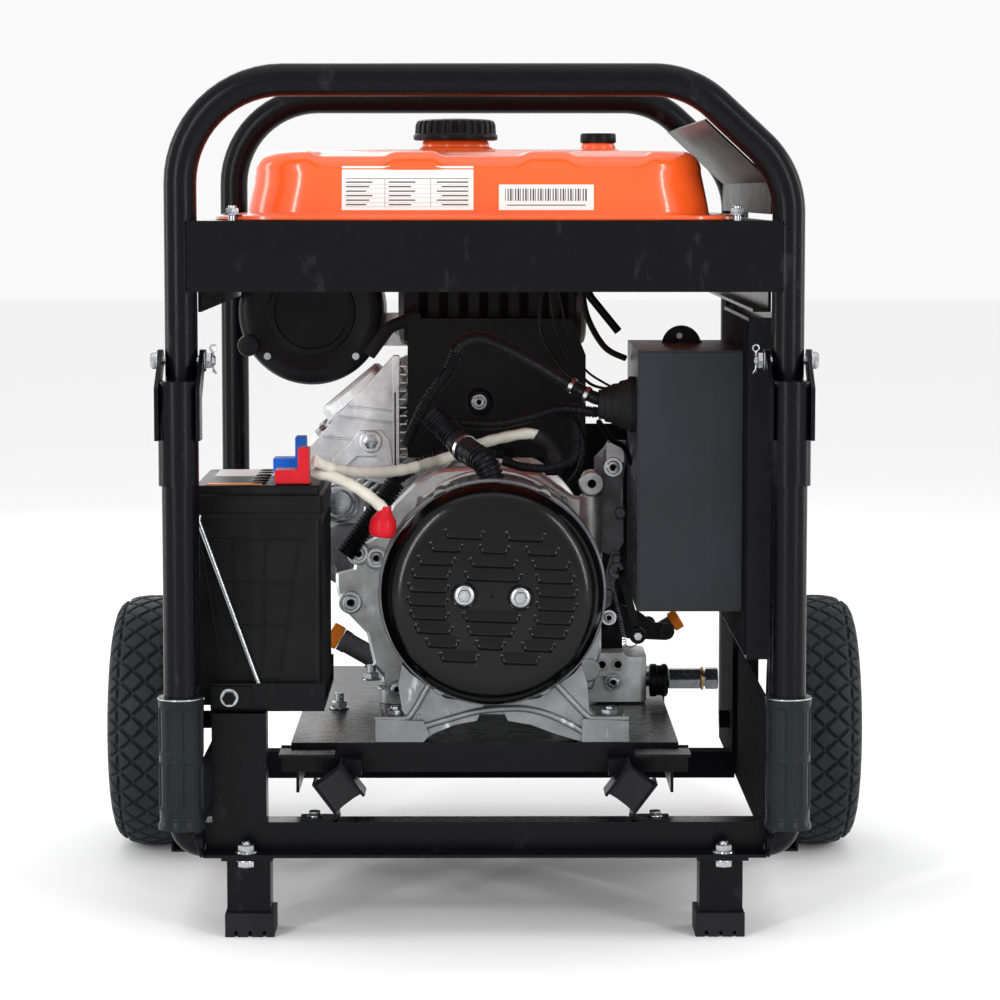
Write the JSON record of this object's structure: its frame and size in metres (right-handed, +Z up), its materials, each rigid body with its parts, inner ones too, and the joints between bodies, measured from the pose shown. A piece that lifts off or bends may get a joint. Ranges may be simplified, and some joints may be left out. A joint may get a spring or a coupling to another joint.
{
  "type": "portable generator",
  "caption": "Open-frame portable generator: tube cage, red tank, engine and alternator on a sprung cradle, battery, control box, wheels and fold-up handles.",
  "frame": {"origin": "on the floor, under the middle of the overall box", "axes": "+X to the control-panel side, +Y from the alternator end to the fan end, +Z up"},
  "size_m": [0.832, 0.768, 0.861],
  "materials": {
    "frame_paint": "semi-gloss powder coat",
    "tank_paint": "gloss enamel",
    "cover_paint": "satin black",
    "zinc_steel": "zinc plated",
    "cast_alloy": "die cast",
    "iron_core": "laminated",
    "black_rubber": "matte",
    "grip_rubber": "matte grey-black",
    "tyre_rubber": "treaded",
    "black_plastic": "fine grain",
    "orange_plastic": "gloss",
    "red_plastic": "gloss",
    "panel_grey": "satin",
    "beige_sleeve": "braided"
  },
  "bodies": {
    "frame": {"front_loop": "frame_paint", "rear_loop": "frame_paint", "front_base_rail": "frame_paint", "base_rails": "frame_paint", "wheel_brackets": "frame_paint", "crossbars": "frame_paint", "upper_side_rails": "frame_paint", "side_sheets": "frame_paint", "foot_columns": "frame_paint", "foot_pads": "black_rubber", "foot_bolts": "zinc_steel", "handle_pins": "zinc_steel", "battery_legs": "frame_paint", "battery_tray": "frame_paint", "battery": "black_plastic", "battery_rod": "zinc_steel", "terminal_covers": "red_plastic", "fuel_tank": "tank_paint", "tank_bolts": "zinc_steel", "fuel_gauge": "black_plastic", "cradle": "frame_paint", "rubber_mounts": "black_rubber", "alternator_cover": "cover_paint", "alternator_bolts": "zinc_steel", "end_bell": "cast_alloy", "stator": "iron_core", "tail_bearing": "zinc_steel", "crankcase": "cast_alloy", "cylinder_block": "cast_alloy", "air_guide": "cover_paint", "fan_shroud": "cover_paint", "starter_motor": "zinc_steel", "air_cleaner": "black_plastic", "muffler": "cover_paint", "oil_filler": "zinc_steel", "control_box": "frame_paint", "control_panel": "panel_grey", "sockets": "black_plastic", "cable_boot": "black_rubber", "harness": "black_plastic", "battery_cables": "beige_sleeve"},
    "left_handle": {"left_handle_arm": "frame_paint", "left_grip": "grip_rubber"},
    "right_handle": {"right_handle_arm": "frame_paint", "right_grip": "grip_rubber"},
    "left_wheel": {"left_tyre": "tyre_rubber", "left_rim": "panel_grey"},
    "right_wheel": {"right_tyre": "tyre_rubber", "right_rim": "panel_grey"},
    "crank_line": {"rotor": "iron_core", "flywheel_fan": "cast_alloy"},
    "tank_cap": {"fuel_cap": "black_plastic"},
    "oil_plug": {"oil_cap": "orange_plastic"},
    "tap_lever": {"fuel_tap_lever": "red_plastic"},
    "throttle_lever": {"stop_lever": "cover_paint"},
    "key": {"start_key": "zinc_steel"},
    "breaker": {"breaker_toggle": "black_plastic"},
    "upper_lid": {"upper_socket_lid": "black_plastic"},
    "lower_lid": {"lower_socket_lid": "black_plastic"}
  },
  "joints": [
    {"name": "left_handle_swing", "type": "hinge", "parent": "frame", "child": "left_handle", "pos_m": [-0.296, -0.322, 0.573], "axis": [-1, 0, 0], "range_deg": [0, 90]},
    {"name": "right_handle_swing", "type": "hinge", "parent": "frame", "child": "right_handle", "pos_m": [0.296, -0.322, 0.573], "axis": [-1, 0, 0], "range_deg": [0, 90]},
    {"name": "left_wheel_spin", "type": "hinge", "parent": "frame", "child": "left_wheel", "pos_m": [-0.372, 0.16, 0.141], "axis": [1, 0, 0], "continuous": true},
    {"name": "right_wheel_spin", "type": "hinge", "parent": "frame", "child": "right_wheel", "pos_m": [0.372, 0.16, 0.141], "axis": [1, 0, 0], "continuous": true},
    {"name": "crankshaft_spin", "type": "hinge", "parent": "frame", "child": "crank_line", "pos_m": [0.0075, 0, 0.335], "axis": [0, 1, 0], "continuous": true},
    {"name": "fuel_cap_turn", "type": "hinge", "parent": "frame", "child": "tank_cap", "pos_m": [-0.03, -0.122, 0.8], "axis": [0, 0, 1], "range_deg": [0, 90]},
    {"name": "oil_cap_turn", "type": "hinge", "parent": "frame", "child": "oil_plug", "pos_m": [-0.1604, 0.098, 0.2412], "axis": [-0.8677, 0, 0.4971], "range_deg": [0, 360]},
    {"name": "fuel_tap_turn", "type": "hinge", "parent": "frame", "child": "tap_lever", "pos_m": [0.227, 0.128, 0.69], "axis": [-1, 0, 0], "range_deg": [0, 90]},
    {"name": "throttle_swing", "type": "hinge", "parent": "frame", "child": "throttle_lever", "pos_m": [0.14, 0.08, 0.25], "axis": [0, 1, 0], "range_deg": [-20, 20]},
    {"name": "key_turn", "type": "hinge", "parent": "frame", "child": "key", "pos_m": [0.31, 0.008, 0.54], "axis": [1, 0, 0], "range_deg": [0, 80]},
    {"name": "breaker_rock", "type": "hinge", "parent": "frame", "child": "breaker", "pos_m": [0.306, -0.087, 0.54], "axis": [0, 1, 0], "range_deg": [-20, 20]},
    {"name": "upper_lid_swing", "type": "hinge", "parent": "frame", "child": "upper_lid", "pos_m": [0.309, -0.087, 0.453], "axis": [0, -1, 0], "range_deg": [0, 120]},
    {"name": "lower_lid_swing", "type": "hinge", "parent": "frame", "child": "lower_lid", "pos_m": [0.309, -0.087, 0.363], "axis": [0, -1, 0], "range_deg": [0, 120]}
  ]
}
